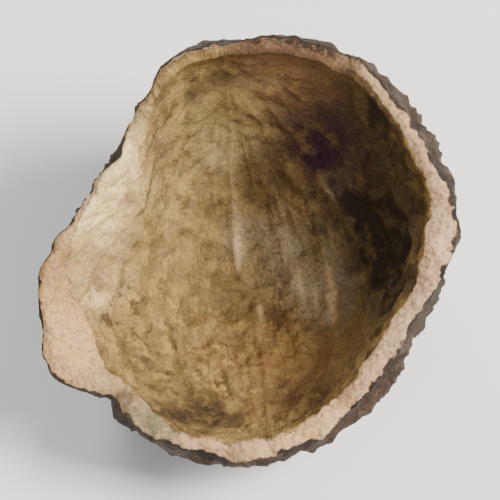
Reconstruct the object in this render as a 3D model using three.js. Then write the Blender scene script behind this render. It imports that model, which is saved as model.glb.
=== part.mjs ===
// The husk of a black pepper berry: a bit more than half of the berry's thin dried wall, torn off as an
// open cup. It lies on its back with the hollow up, tipped a little to the front. Its outside is wrinkled
// into a raised net, and its inside is smoother, with fine ribs that run from the berry's stalk to its tip.
//
// Millimetres, +Z up, +X to the right, -Y to the front. The origin is on the small flat spot that the husk
// rests on, straight below the middle of the berry. The shape is worked out in the cup's own frame, around
// the middle of the berry and before the cup is tipped: azimuths run from +X towards +Y, and polar angles
// from the bottom of the cup (0) up to its mouth (about 90), both in degrees.
import * as THREE from "three";

// Driving dimensions
const BERRY_RADIUS = 2.7; // the middle of the berry to its skin, between the wrinkles
const WALL = 0.35; // thickness of the wall low in the cup
const EDGE_WALL = 0.27; // and at its torn edge
const EDGE_ANGLE = 93; // degrees from the bottom of the cup up to the torn edge
const EDGE_BULGE = 0.05; // how far the edge is rounded out between its two corners
const FRONT_TIP = 22; // degrees that the mouth tips to the front
const FOOT_DEPTH = 2.72; // the middle of the berry to the flat spot below it

// Sides of the berry that stand out or sink in: centred where, over how many degrees, by how much
const SWELLS = [
  { azimuth: 74, polar: 88, reach: 21, raise: 0.27 }, // full side at the back
  { azimuth: 110, polar: 88, reach: 10, raise: 0.22 }, // and its corner
  { azimuth: 148, polar: 84, reach: 20, raise: -0.5 }, // side that is pressed straight
  { azimuth: 160, polar: 56, reach: 20, raise: -0.34 }, // and its slope to the bottom
  { azimuth: 194, polar: 98, reach: 12, raise: 0.46 }, // lip that leans out
  { azimuth: 212, polar: 95, reach: 8, raise: 0.36 }, // and its round corner
  { azimuth: 262, polar: 104, reach: 17, raise: 0.3 }, // blunt corner at the front
  { azimuth: 328, polar: 84, reach: 16, raise: -0.28 }, // shallow dent beside it
  { azimuth: 15, polar: 96, reach: 12, raise: 0.22 }, // corner on the right
  { azimuth: 35, polar: 45, reach: 17, raise: -0.1 }, // hollow low on the outside
  { azimuth: 270, polar: 46, reach: 12, raise: -0.14 }, // hollow in front of the flat spot
  { azimuth: 60, polar: 6, reach: 12, raise: 0.26 }, // heel below the husk's weight
];

// How the edge is torn: centred on which azimuth, over how many degrees, how many degrees lower
const TEARS = [
  { azimuth: 196, reach: 22, drop: 5 }, // the lip
  { azimuth: 227.5, reach: 3.6, drop: 8 }, // notch where the lip ends
  { azimuth: 132, reach: 14, drop: 4 },
  { azimuth: 64, reach: 4.5, drop: 4 },
  { azimuth: 265, reach: 24, drop: 4 }, // low front
  { azimuth: 301, reach: 5.5, drop: 4 },
  { azimuth: 343, reach: 9, drop: 3 },
  { azimuth: 32, reach: 24, drop: -7 }, // where the wall is longer and curls in
];

// Small unevenness along the edge: how many steps around it, and how many degrees up and down
const EDGE_STEPS = [
  { count: 16, swing: 1.6 },
  { count: 44, swing: 1 },
];

// Raised net of wrinkles on the outside: a coarse net and a finer one, by the cells on a whole berry
const NETS = [
  { cells: 96, height: 0.26, width: 0.28 },
  { cells: 300, height: 0.08, width: 0.17 },
];
const CREST_ROUNDING = 0.1;
const CELL_SCATTER = 0.42; // how far the cells leave even rows, as a share of their size
const NET_BEND = { size: 0.1, along: 5, across: 3 }; // share of the radius, and waves that bend the nets
const NET_STRENGTH = { middle: 0.85, swing: 0.3 }; // the wrinkles are higher in some places
const EDGE_WRINKLES = 0.4; // share of a wrinkle's height that is left at the torn edge
const IMPRINT = 0.25; // share of a wrinkle's height that shows on the inside

// How far up the wall, as a share of the way to its edge, these begin to change towards the edge
const WALL_THINS_FROM = 0.6;
const WRINKLES_FADE_FROM = 0.75;
const INSIDE_SMOOTHS_FROM = 0.85;

// Ribs on the inside, like meridians around the line from the stalk to the tip
const STALK = { azimuth: 97, polar: 76 };
const STALK_SCAR = { radius: 0.32, depth: 0.13, ring: 1.3, ringWidth: 0.5 }; // ring sizes in radii
const SCAR_CLEARANCE = 10; // degrees around the scar in which the wrinkles fade
const RIB_COUNT = 24;
const RIB_HEIGHT = 0.045;
const RIB_SWAY = 0.9; // how far the ribs swing from side to side, in radians of their own wave

// Rows of vertices from the bottom of the cup to its edge, and the step between vertices along a row
const OUTER_ROWS = 34;
const EDGE_ROWS = 2;
const INNER_ROWS = 26;
const OUTER_STEP = 0.14;
const INNER_STEP = 0.155;

const GOLDEN_ANGLE = Math.PI * (3 - Math.sqrt(5));
const { degToRad, lerp, smoothstep } = THREE.MathUtils;

// The unit vector from the middle of the berry towards an azimuth and a polar angle.
function towards({ azimuth, polar }) {
  const around = degToRad(azimuth);
  const up = degToRad(polar);
  return new THREE.Vector3(
    Math.sin(up) * Math.cos(around),
    Math.sin(up) * Math.sin(around),
    -Math.cos(up),
  );
}

// A repeatable number from -1 to 1 for each whole number.
function scatter(index) {
  const wave = Math.sin(index * 12.9898) * 43758.5453;
  return 2 * (wave - Math.floor(wave)) - 1;
}

// A value that wanders from -1 to 1 around the berry, at random from step to step and smooth between them.
function wander(azimuth, count) {
  const place = (azimuth / 360) * count;
  const step = Math.floor(place);
  const at = (index) => scatter(100 * count + (index % count));
  return lerp(at(step), at(step + 1), smoothstep(place - step, 0, 1));
}

// The middles of a net's cells: even points on a sphere, each moved a little.
function makeCells(count) {
  const moved = CELL_SCATTER * Math.sqrt((4 * Math.PI) / count);
  return Array.from({ length: count }, (_, index) => {
    const height = 1 - (2 * index + 1) / count;
    const width = Math.sqrt(1 - height * height);
    const turn = index * GOLDEN_ANGLE;
    return new THREE.Vector3(
      width * Math.cos(turn) + moved * scatter(3 * index + 1),
      width * Math.sin(turn) + moved * scatter(3 * index + 2),
      height + moved * scatter(3 * index + 3),
    ).normalize();
  });
}

const swells = SWELLS.map((swell) => ({ ...swell, centre: towards(swell) }));
const nets = NETS.map((net) => ({ ...net, middles: makeCells(net.cells) }));
const stalk = towards(STALK);
const ribStart = new THREE.Vector3(0, 0, 1).cross(stalk).normalize();
const ribSide = stalk.clone().cross(ribStart);
const footDirection = towards({ azimuth: 270, polar: FRONT_TIP });

// How far a swell or a dent counts in one direction: 1 at its centre, fading with the angle from it.
function fade(direction, centre, reach) {
  return Math.exp((direction.dot(centre) - 1) / degToRad(reach) ** 2);
}

// The berry's radius in one direction, without its wrinkles.
function berryRadius(direction) {
  return swells.reduce(
    (radius, { centre, reach, raise }) => radius + raise * fade(direction, centre, reach),
    BERRY_RADIUS,
  );
}

// The height of one net in one direction: full where two cells meet, and falling off into each cell.
function ridge(direction, { height, width, middles }) {
  let nearest = Infinity;
  let second = Infinity;
  for (const middle of middles) {
    const distance = direction.distanceTo(middle) * BERRY_RADIUS;
    if (distance < nearest) {
      second = nearest;
      nearest = distance;
    } else if (distance < second) {
      second = distance;
    }
  }
  const away = Math.hypot(second - nearest, CREST_ROUNDING) - CREST_ROUNDING;
  return height * Math.exp(-away / width);
}

// The height of all wrinkles in one direction. The nets are bent first, and stronger in some places.
function wrinkle({ x, y, z }) {
  const { size, along, across } = NET_BEND;
  const bent = new THREE.Vector3(
    x + size * Math.sin(along * y + across * z + 1),
    y + size * Math.sin(along * z + across * x + 2),
    z + size * Math.sin(along * x + across * y + 4),
  ).normalize();
  const patches = Math.sin(4 * x + 2 * y + 1) * Math.cos(3 * z - 4 * y);
  const strength = NET_STRENGTH.middle + NET_STRENGTH.swing * patches;
  return nets.reduce((sum, net) => sum + ridge(bent, net), 0) * strength;
}

// The round scar where the stalk was: a shallow pit with a low ring around it.
function stalkScar(direction) {
  const { radius, depth, ring, ringWidth } = STALK_SCAR;
  const away = (direction.distanceTo(stalk) * BERRY_RADIUS) / radius;
  return depth * (Math.exp(-(((away - ring) / ringWidth) ** 2)) - Math.exp(-(away ** 4)));
}

// The height of the ribs on the inside in one direction. They fade towards the stalk and the tip.
function rib(direction) {
  const turn = Math.atan2(direction.dot(ribSide), direction.dot(ribStart));
  const along = direction.dot(stalk);
  const sway = RIB_SWAY * Math.sin(3 * along + 2 * turn);
  const ridge = (0.5 + 0.5 * Math.cos(RIB_COUNT * turn + sway)) ** 3;
  return RIB_HEIGHT * ridge * Math.sqrt(Math.max(0, 1 - along * along));
}

// The polar angle of the torn edge at one azimuth.
function edgeAngle(azimuth) {
  const torn = TEARS.reduce((angle, tear) => {
    const away = ((azimuth - tear.azimuth + 540) % 360) - 180;
    return angle - tear.drop * Math.exp(-((away / tear.reach) ** 2));
  }, EDGE_ANGLE);
  return EDGE_STEPS.reduce((angle, { count, swing }) => angle + swing * wander(azimuth, count), torn);
}

// How far the outside and the inside stand from the middle of the berry. The share runs from 0 at the
// bottom of the cup to 1 at its edge, where the wrinkles flatten and the wall thins.
function outerRadius(direction, share) {
  const flatten = lerp(1, EDGE_WRINKLES, smoothstep(share, WRINKLES_FADE_FROM, 1));
  const clear = 1 - fade(direction, stalk, SCAR_CLEARANCE);
  return berryRadius(direction) + wrinkle(direction) * flatten * clear + stalkScar(direction);
}

function innerRadius(direction, share) {
  const wall = lerp(WALL, EDGE_WALL, smoothstep(share, WALL_THINS_FROM, 1));
  const smooth = 1 - smoothstep(share, INSIDE_SMOOTHS_FROM, 1);
  return berryRadius(direction) - wall + (IMPRINT * wrinkle(direction) - rib(direction)) * smooth;
}

// A vertex of the outside or the inside, and one on the torn edge between them.
function wallPoint(radiusAt, azimuth, share) {
  const direction = towards({ azimuth, polar: share * edgeAngle(azimuth) });
  return direction.clone().multiplyScalar(radiusAt(direction, share));
}

function edgePoint(azimuth, across) {
  const outer = wallPoint(outerRadius, azimuth, 1);
  const inner = wallPoint(innerRadius, azimuth, 1);
  const up = towards({ azimuth, polar: edgeAngle(azimuth) + 90 });
  return outer.lerp(inner, across).addScaledVector(up, EDGE_BULGE * Math.sin(Math.PI * across));
}

// Presses what reaches below the floor flat, which makes the spot that the husk rests on.
function pressFlat(point) {
  const below = point.dot(footDirection) - FOOT_DEPTH;
  return below > 0 ? point.addScaledVector(footDirection, -below) : point;
}

// One closed ring of vertices. Every other ring is turned by half a step.
function makeRing(row, share, step, pointAt) {
  const radius = BERRY_RADIUS * Math.sin(degToRad(share * EDGE_ANGLE));
  const count = Math.max(6, Math.round((2 * Math.PI * radius) / step));
  const start = row % 2 ? 0.5 : 0;
  return Array.from({ length: count }, (_, index) => {
    const turn = (index + start) / count;
    return { turn, point: pressFlat(pointAt(turn * 360)) };
  });
}

// All rings, up the outside from its bottom, over the torn edge and down the inside.
function makeRings() {
  const single = (radiusAt) => [{ turn: 0, point: pressFlat(wallPoint(radiusAt, 0, 0)) }];
  const rings = [single(outerRadius)];
  const add = (share, step, pointAt) => rings.push(makeRing(rings.length, share, step, pointAt));
  for (let row = 1; row <= OUTER_ROWS; row += 1) {
    const share = row / OUTER_ROWS;
    add(share, OUTER_STEP, (azimuth) => wallPoint(outerRadius, azimuth, share));
  }
  for (let row = 1; row <= EDGE_ROWS; row += 1) {
    const across = row / (EDGE_ROWS + 1);
    add(1, OUTER_STEP, (azimuth) => edgePoint(azimuth, across));
  }
  for (let row = INNER_ROWS; row >= 1; row -= 1) {
    const share = row / INNER_ROWS;
    add(share, INNER_STEP, (azimuth) => wallPoint(innerRadius, azimuth, share));
  }
  rings.push(single(innerRadius));
  return rings;
}

// The triangles between two rings. Each step goes on along the ring that lags behind. A single point, at
// the bottom of the cup, takes no steps.
function stitch(lower, upper, triangle) {
  const at = (ring, index) => ring[index % ring.length];
  const middle = (ring, index) => ring[0].turn + (index + 0.5) / ring.length;
  const lowerSteps = lower.length > 1 ? lower.length : 0;
  const upperSteps = upper.length > 1 ? upper.length : 0;
  let i = 0;
  let j = 0;
  while (i < lowerSteps || j < upperSteps) {
    const lowerLags = middle(lower, i) <= middle(upper, j);
    if (j === upperSteps || (i < lowerSteps && lowerLags)) {
      triangle(at(lower, i), at(lower, i + 1), at(upper, j));
      i += 1;
    } else {
      triangle(at(lower, i), at(upper, j + 1), at(upper, j));
      j += 1;
    }
  }
}

function makeHuskGeometry() {
  const rings = makeRings();
  const vertices = rings.flat();
  vertices.forEach((vertex, index) => {
    vertex.index = index;
  });
  const faces = [];
  for (let row = 1; row < rings.length; row += 1) {
    stitch(rings[row - 1], rings[row], (a, b, c) => faces.push(a.index, b.index, c.index));
  }
  const geometry = new THREE.BufferGeometry().setFromPoints(vertices.map(({ point }) => point));
  geometry.setIndex(faces);
  geometry.computeVertexNormals();
  return geometry;
}

const husk = new THREE.Mesh(
  makeHuskGeometry(),
  new THREE.MeshStandardMaterial({ color: 0x8a6c45, roughness: 0.85, metalness: 0 }),
);
husk.name = "husk";
husk.rotation.x = degToRad(FRONT_TIP);
husk.position.z = FOOT_DEPTH;

const part = new THREE.Group();
part.add(husk);

export default part;
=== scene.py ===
"""The looks of one black pepper husk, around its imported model.

The husk is a bit more than half of the dried wall of a berry, torn off as an open cup. It is modelled as a
fine ball whose upper half is pushed down into the lower one, so that the lower half becomes the wrinkled
outside, the upper half the ribbed inside, and a band between them the torn edge.

Sizes are in millimetres, and MM turns them into the frame's metres. The shape is worked out in the cup's
own frame, around the middle of the berry and before the cup is tipped to the front: azimuths run from +X
towards +Y, and polar angles from the bottom of the cup (0) up to its mouth (about 90), both in degrees.
"""

import logging
import math
from collections.abc import Callable
from dataclasses import dataclass, field
from enum import Enum

import bpy
import numpy as np
from mathutils import Euler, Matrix, Vector, kdtree, noise


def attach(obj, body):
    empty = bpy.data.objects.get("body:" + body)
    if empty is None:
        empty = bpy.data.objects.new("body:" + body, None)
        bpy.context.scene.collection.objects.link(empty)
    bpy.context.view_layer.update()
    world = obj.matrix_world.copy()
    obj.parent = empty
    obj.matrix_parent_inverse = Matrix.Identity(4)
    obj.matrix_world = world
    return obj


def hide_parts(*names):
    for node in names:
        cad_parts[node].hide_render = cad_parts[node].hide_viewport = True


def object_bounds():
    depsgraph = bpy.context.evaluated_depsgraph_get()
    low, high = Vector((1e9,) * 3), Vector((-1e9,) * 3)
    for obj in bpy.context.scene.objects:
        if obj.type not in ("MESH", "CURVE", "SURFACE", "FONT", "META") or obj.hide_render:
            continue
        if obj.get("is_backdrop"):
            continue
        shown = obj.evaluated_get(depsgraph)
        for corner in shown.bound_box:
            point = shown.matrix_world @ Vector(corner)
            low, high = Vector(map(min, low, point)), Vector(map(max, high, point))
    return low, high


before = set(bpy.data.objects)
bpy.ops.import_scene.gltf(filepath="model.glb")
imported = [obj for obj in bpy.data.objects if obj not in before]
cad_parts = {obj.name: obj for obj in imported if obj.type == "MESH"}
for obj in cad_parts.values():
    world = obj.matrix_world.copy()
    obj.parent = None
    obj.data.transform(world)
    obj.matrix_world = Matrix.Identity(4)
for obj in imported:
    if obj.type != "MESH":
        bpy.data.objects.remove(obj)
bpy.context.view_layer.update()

MM = 0.001
GOLDEN_ANGLE = math.pi * (3 - math.sqrt(5))
SCATTER_TURN = 12.9898  # radians from one whole number to the next
SCATTER_SPREAD = 43758.5453  # so large that neighbours have nothing in common
WANDER_APART = 100  # between the scattered numbers that different counts of steps start from
WHITE = (1.0, 1.0, 1.0)
NOISE_TURN = np.array(Euler((0.7, 0.5, 0.3)).to_matrix())  # so that no row of the noise lies along an axis

Colour = tuple[float, float, float]
Waves = tuple[float, float, float]  # how many radians they turn along x, y and z
Range = tuple[float, float]
Placing = Callable[[np.ndarray], np.ndarray]
Socket = bpy.types.NodeSocket
Feed = Socket | float | Colour
log = logging.getLogger("pepper_husk")


def lerp(start: np.ndarray | float, end: np.ndarray | float, share: np.ndarray | float) -> np.ndarray | float:
    """Goes from start to end as share goes from 0 to 1."""
    return start + (end - start) * share


def smoothstep(value: np.ndarray, low: float, high: float) -> np.ndarray:
    """Goes smoothly from 0 where the value is low to 1 where it is high."""
    share = np.clip((value - low) / (high - low), 0.0, 1.0)
    return share * share * (3 - 2 * share)


def towards(azimuth: np.ndarray | float, polar: np.ndarray | float) -> np.ndarray:
    """Finds unit vectors from the middle of the berry.

    Args:
        azimuth: Degrees from +X towards +Y.
        polar: Degrees from the bottom of the cup up to its mouth.

    Returns:
        One row of x, y and z for each pair of angles.
    """
    around, up = np.radians(azimuth), np.radians(polar)
    return np.stack([np.sin(up) * np.cos(around), np.sin(up) * np.sin(around), -np.cos(up)], axis=-1)


def turned_from(start: np.ndarray | float, azimuth: np.ndarray) -> np.ndarray:
    """Counts the degrees from one azimuth round to another, -180 to 180."""
    return (azimuth - start + 540) % 360 - 180


def scatter(index: np.ndarray) -> np.ndarray:
    """Gives a repeatable number from -1 to 1 for each whole number."""
    wave = np.sin(index * SCATTER_TURN) * SCATTER_SPREAD
    return 2 * (wave - np.floor(wave)) - 1


def wander(azimuth: np.ndarray, count: int) -> np.ndarray:
    """Wanders from -1 to 1 around the berry, at random from step to step and smooth between them.

    Args:
        azimuth: Degrees around the cup.
        count: Steps all the way round.

    Returns:
        One value for each azimuth.
    """
    place = azimuth / 360 * count
    step = np.floor(place)
    before = scatter(WANDER_APART * count + step % count)
    after = scatter(WANDER_APART * count + (step + 1) % count)
    return lerp(before, after, smoothstep(place - step, 0, 1))


def grain(places: np.ndarray, size: float, octaves: int = 3) -> np.ndarray:
    """Gives soft noise of about -1 to 1 in space.

    Args:
        places: Points, in any unit.
        size: Size of the largest lumps, in the same unit.
        octaves: How many times a finer layer of half the size and height is added.

    Returns:
        One value for each point.
    """
    turned = places @ NOISE_TURN / size
    return np.array([noise.fractal(place, 1.0, 2.0, octaves) for place in turned.tolist()])


@dataclass(frozen=True)
class Patch:
    """A round patch of the berry, centred in one direction and fading with the angle from it."""

    azimuth: float
    polar: float
    reach: float  # degrees
    amount: float  # millimetres for a shape, and a share for a colour

    def fade(self, directions: np.ndarray) -> np.ndarray:
        """Goes from 1 at the centre to 0 far from it."""
        centre = towards(self.azimuth, self.polar)
        return np.exp((directions @ centre - 1) / math.radians(self.reach) ** 2)


@dataclass(frozen=True)
class Streak:
    """A thin streak of the lining, drawn out along its fibres."""

    azimuth: float
    polar: float
    width: float  # millimetres across the fibres
    amount: float

    def fade(self, directions: np.ndarray, fibre_places: Placing) -> np.ndarray:
        """Finds how strong the streak is.

        Args:
            directions: Unit vectors from the middle of the berry.
            fibre_places: Turns such vectors into places whose third part is squeezed along the fibres.

        Returns:
            The strength in each direction, from 1 at the centre to 0 far from it.
        """
        away = fibre_places(directions) - fibre_places(towards(self.azimuth, self.polar)[None])
        return np.exp(-(((away / self.width) ** 2).sum(axis=1) ** 1.5))


def patched(patches: tuple[Patch, ...], directions: np.ndarray) -> np.ndarray:
    """Adds up how much all patches count in each direction."""
    return sum(patch.amount * patch.fade(directions) for patch in patches)


@dataclass(frozen=True)
class Berry:
    """The skin of the whole berry without its wrinkles, and where its stalk was."""

    radius: float = 2.7
    stalk_azimuth: float = 97
    stalk_polar: float = 76
    swells: tuple[Patch, ...] = (
        Patch(74, 88, 21, 0.24),  # full side at the back
        Patch(110, 88, 10, 0.17),  # and its corner
        Patch(54, 92, 12, 0.09),  # rim at the back, on the right
        Patch(70, 94, 13, 0.05),  # and in its middle
        Patch(148, 84, 20, -0.5),  # side that is pressed straight
        Patch(160, 56, 20, -0.34),  # and its slope to the bottom
        Patch(194, 98, 12, 0.46),  # lip that leans out
        Patch(212, 95, 8, 0.36),  # and its round corner
        Patch(262, 104, 17, 0.22),  # blunt corner at the front
        Patch(250, 96, 8, 0.07),  # rim to the left of it
        Patch(281, 96, 6, 0.05),  # and to the right
        Patch(328, 84, 16, -0.28),  # shallow dent at the front, on the right
        Patch(11, 96, 12, 0.19),  # corner on the right
        Patch(35, 45, 17, -0.1),  # hollow low on the outside
        Patch(270, 46, 12, -0.14),  # hollow in front of the flat spot
        Patch(60, 6, 12, 0.26),  # heel below the husk's weight
    )

    @property
    def stalk(self) -> np.ndarray:
        """The direction of the stalk."""
        return towards(self.stalk_azimuth, self.stalk_polar)

    def radius_at(self, directions: np.ndarray) -> np.ndarray:
        """The middle of the berry to its skin, between the wrinkles."""
        return self.radius + patched(self.swells, directions)

    def meridians(self, directions: np.ndarray) -> tuple[np.ndarray, np.ndarray]:
        """Places directions on meridians that run from the stalk to the tip.

        Args:
            directions: Unit vectors from the middle of the berry.

        Returns:
            The turn around the line of the stalk in radians, and the share of the way along it, -1 to 1.
        """
        start = np.cross([0.0, 0.0, 1.0], self.stalk)
        start /= np.linalg.norm(start)
        side = np.cross(self.stalk, start)
        return np.arctan2(directions @ side, directions @ start), directions @ self.stalk


@dataclass(frozen=True)
class Net:
    """One raised net of wrinkles: high where two cells meet, and falling off into each cell."""

    cells: int  # on a whole berry
    height: float
    width: float
    rounding: float = 0.1  # of its crests
    scattered: float = 0.42  # how far the cells leave even rows, as a share of their size

    def middles(self) -> np.ndarray:
        """The middles of the cells: even points on a sphere, each moved a little."""
        index = np.arange(self.cells)
        moved = self.scattered * math.sqrt(4 * math.pi / self.cells)
        height = 1 - (2 * index + 1) / self.cells
        width = np.sqrt(1 - height * height)
        turn = index * GOLDEN_ANGLE
        points = np.stack([width * np.cos(turn), width * np.sin(turn), height], axis=-1)
        points += moved * scatter(3 * index[:, None] + np.array([1, 2, 3]))
        return points / np.linalg.norm(points, axis=1, keepdims=True)

    def ridge(self, directions: np.ndarray, radius: float) -> np.ndarray:
        """Finds how high the net stands.

        Args:
            directions: Unit vectors from the middle of the berry.
            radius: Radius of the berry.

        Returns:
            The share of the net's height in each direction, 0 to 1.
        """
        tree = kdtree.KDTree(self.cells)
        for index, middle in enumerate(self.middles()):
            tree.insert(middle, index)
        tree.balance()
        pairs = [tree.find_n(direction, 2) for direction in directions.tolist()]
        gaps = np.array([far[2] - near[2] for near, far in pairs]) * radius
        return np.exp(-(np.hypot(gaps, self.rounding) - self.rounding) / self.width)


@dataclass(frozen=True)
class Wrinkles:
    """The wrinkles of the dried skin: nets that are bent first, and are stronger in some places."""

    nets: tuple[Net, ...] = (Net(96, 0.31, 0.2, rounding=0.12), Net(300, 0.14, 0.12, rounding=0.06))
    fine_nets: tuple[Net, ...] = (
        Net(1300, 0.058, 0.06, rounding=0.032),
        Net(4200, 0.022, 0.035, rounding=0.012),
    )
    highest: float = 0.43
    full_crest: float = 0.85  # share of the highest from which a crest counts as full
    lump_height: float = 0.03
    lump_size: float = 0.3
    bend: float = 0.1  # share of the radius
    bend_along: float = 5
    bend_across: float = 3
    bend_starts: tuple[float, ...] = (1, 2, 4)  # radians at which its three waves start
    wobble: float = 0.035  # share of the radius
    wobble_size: float = 0.3
    wobble_apart: float = 5  # between the noises for x, y and z
    middle: float = 0.91  # strength of the wrinkles
    swing: float = 0.22  # how far it goes up and down over the berry
    swing_waves: tuple[Waves, Waves] = ((4, 2, 0), (0, -4, 3))
    swing_start: float = 1

    def bent(self, directions: np.ndarray) -> np.ndarray:
        """Bends the directions in waves, so that the nets are less even."""
        x, y, z = directions.T
        along, across = self.bend_along, self.bend_across
        pairs = ((y, z), (z, x), (x, y))
        waves = np.stack([
            np.sin(along * first + across * second + start)
            for (first, second), start in zip(pairs, self.bend_starts)
        ], axis=-1)
        wobbles = np.stack([
            grain(directions + self.wobble_apart * axis, self.wobble_size) for axis in range(3)
        ], axis=-1)
        moved = directions + self.bend * waves + self.wobble * wobbles
        return moved / np.linalg.norm(moved, axis=1, keepdims=True)

    def strength(self, directions: np.ndarray) -> np.ndarray:
        """How strong the wrinkles are in each direction."""
        first, second = (directions @ np.array(wave) for wave in self.swing_waves)
        return self.middle + self.swing * np.sin(first + self.swing_start) * np.cos(second)

    def heights(self, directions: np.ndarray, radius: float) -> tuple[np.ndarray, np.ndarray, np.ndarray]:
        """Finds the heights of the wrinkles.

        Args:
            directions: Unit vectors from the middle of the berry.
            radius: Radius of the berry.

        Returns:
            The height of the coarse nets together with their peaks rounded off, the height of the fine
            nets together, and the share of a full crest that each place has, 0 to 1.
        """
        bent = self.bent(directions)
        coarse = sum(net.height * net.ridge(bent, radius) for net in self.nets) * self.strength(directions)
        coarse = self.highest * np.tanh(coarse / self.highest)
        fine = sum(net.height * net.ridge(bent, radius) for net in self.fine_nets)
        return coarse, fine, np.clip(coarse / (self.full_crest * self.highest), 0, 1)


@dataclass(frozen=True)
class StalkScar:
    """The round scar where the stalk was: a shallow pit with a low ring around it."""

    radius: float = 0.32
    depth: float = 0.13
    ring: float = 1.3  # in radii
    ring_width: float = 0.5  # in radii
    clearance: float = 10  # degrees in which the wrinkles fade

    def height_at(self, directions: np.ndarray, berry: Berry) -> np.ndarray:
        """The height of the ring, and below zero of the pit."""
        away = np.linalg.norm(directions - berry.stalk, axis=1) * berry.radius / self.radius
        return self.depth * (np.exp(-(((away - self.ring) / self.ring_width) ** 2)) - np.exp(-(away**4)))

    def clear_at(self, directions: np.ndarray, berry: Berry) -> np.ndarray:
        """The share of the wrinkles that is left around the scar."""
        return 1 - Patch(berry.stalk_azimuth, berry.stalk_polar, self.clearance, 1).fade(directions)


@dataclass(frozen=True)
class Ribs:
    """The relief of the inside: veins like meridians from the stalk to the tip, a fine net, and lumps."""

    count: int = 24
    height: float = 0.045
    sharpness: float = 3  # the higher, the narrower the veins
    sway: float = 0.9  # radians of their own wave
    sway_along: float = 3
    sway_around: float = 2  # a whole number, so that the sway closes
    fibre_height: float = 0.028
    fibre_width: float = 0.13
    fibre_stretch: float = 5  # times as long as wide
    net: Net = Net(620, 0.014, 0.1, rounding=0.04)
    lump_height: float = 0.036
    lump_size: float = 0.45
    granule_height: float = 0.023
    granule_size: float = 0.16

    def share_at(self, directions: np.ndarray, berry: Berry) -> np.ndarray:
        """The share of a full vein that each direction has, 0 to 1."""
        turn, along = berry.meridians(directions)
        sway = self.sway * np.sin(self.sway_along * along + self.sway_around * turn)
        wave = (0.5 + 0.5 * np.cos(self.count * turn + sway)) ** self.sharpness
        return wave * np.sqrt(np.maximum(0, 1 - along * along))

    def fibre_places(self, directions: np.ndarray, berry: Berry) -> np.ndarray:
        """Points whose noise is drawn out along the meridians, in millimetres."""
        turn, along = berry.meridians(directions)
        around = berry.radius * np.stack([np.cos(turn), np.sin(turn)], axis=-1)
        return np.column_stack([around, berry.radius * along / self.fibre_stretch])

    def fibres_at(self, directions: np.ndarray, berry: Berry) -> np.ndarray:
        """Noise of about -1 to 1 for the fibres. They fade towards the stalk and the tip."""
        along = berry.meridians(directions)[1]
        fading = np.sqrt(np.maximum(0, 1 - along * along))
        return grain(self.fibre_places(directions, berry), self.fibre_width) * fading


@dataclass(frozen=True)
class Tear:
    """A place where the torn edge is lower, or higher where the drop is below zero."""

    azimuth: float
    reach: float  # degrees
    drop: float  # degrees

    def drop_at(self, azimuth: np.ndarray) -> np.ndarray:
        """How many degrees lower the edge is at each azimuth."""
        away = turned_from(self.azimuth, azimuth)
        return self.drop * np.exp(-((away / self.reach) ** 2))


@dataclass(frozen=True)
class TornEdge:
    """The torn edge of the wall, all around the cup's mouth."""

    angle: float = 93  # degrees from the bottom of the cup
    bulge: float = 0.05
    tears: tuple[Tear, ...] = (
        Tear(196, 22, 5),  # the lip
        Tear(227.5, 3.6, 8),  # notch where the lip ends
        Tear(132, 14, 4),
        Tear(64, 4.5, 4),
        Tear(265, 24, 3.4),  # low front
        Tear(301, 5.5, 4),
        Tear(343, 9, 3),
        Tear(32, 24, -7),  # where the wall is longer and curls in
    )
    steps: tuple[tuple[int, float], ...] = ((16, 1.6), (44, 1.0))  # how many around it, and degrees
    fine_steps: tuple[tuple[int, float], ...] = ((120, 0.25), (260, 0.15))
    rag_height: float = 0.03  # ragged flesh across the edge
    rag_size: float = 0.28
    path: float = 0.3  # length of the way across the edge
    lined_over: tuple[Patch, ...] = (  # where the lining starts nearer to the skin, or farther down
        Patch(45, 90, 20, 0.1),
        Patch(100, 94, 22, 0.2),
        Patch(265, 96, 26, 0.06),
        Patch(148, 92, 22, 0.24),
        Patch(206, 90, 15, -0.7),
    )

    def angle_at(self, azimuth: np.ndarray) -> np.ndarray:
        """The polar angle of the torn edge at each azimuth."""
        torn = self.angle - sum(tear.drop_at(azimuth) for tear in self.tears)
        return torn + sum(swing * wander(azimuth, count) for count, swing in self.steps + self.fine_steps)

    def bulge_at(self, across: np.ndarray, points: np.ndarray) -> np.ndarray:
        """Finds how far the torn flesh stands out from the edge.

        Args:
            across: Share of the way over the edge.
            points: The places on the flat edge, in millimetres.

        Returns:
            The height at each place, with its rags.
        """
        arch = np.sin(np.pi * across)
        return self.bulge * arch + self.rag_height * grain(points, self.rag_size) * arch**0.5


@dataclass(frozen=True)
class Crease:
    """A shallow crease that runs down the inside from the torn edge."""

    azimuth: float
    slant: float  # degrees of azimuth for each degree down
    depth: float
    reach: float = 1.8  # degrees
    length: float = 12  # degrees
    fades_from: float = 0.3  # share of the length

    def depth_at(self, azimuth: np.ndarray, down: np.ndarray) -> np.ndarray:
        """Finds the depth of the crease.

        Args:
            azimuth: Degrees around the cup.
            down: Degrees below the torn edge.

        Returns:
            The depth at each place.
        """
        away = turned_from(self.azimuth + self.slant * down, azimuth)
        fading = 1 - smoothstep(down, self.fades_from * self.length, self.length)
        return self.depth * np.exp(-((away / self.reach) ** 2)) * fading


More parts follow.
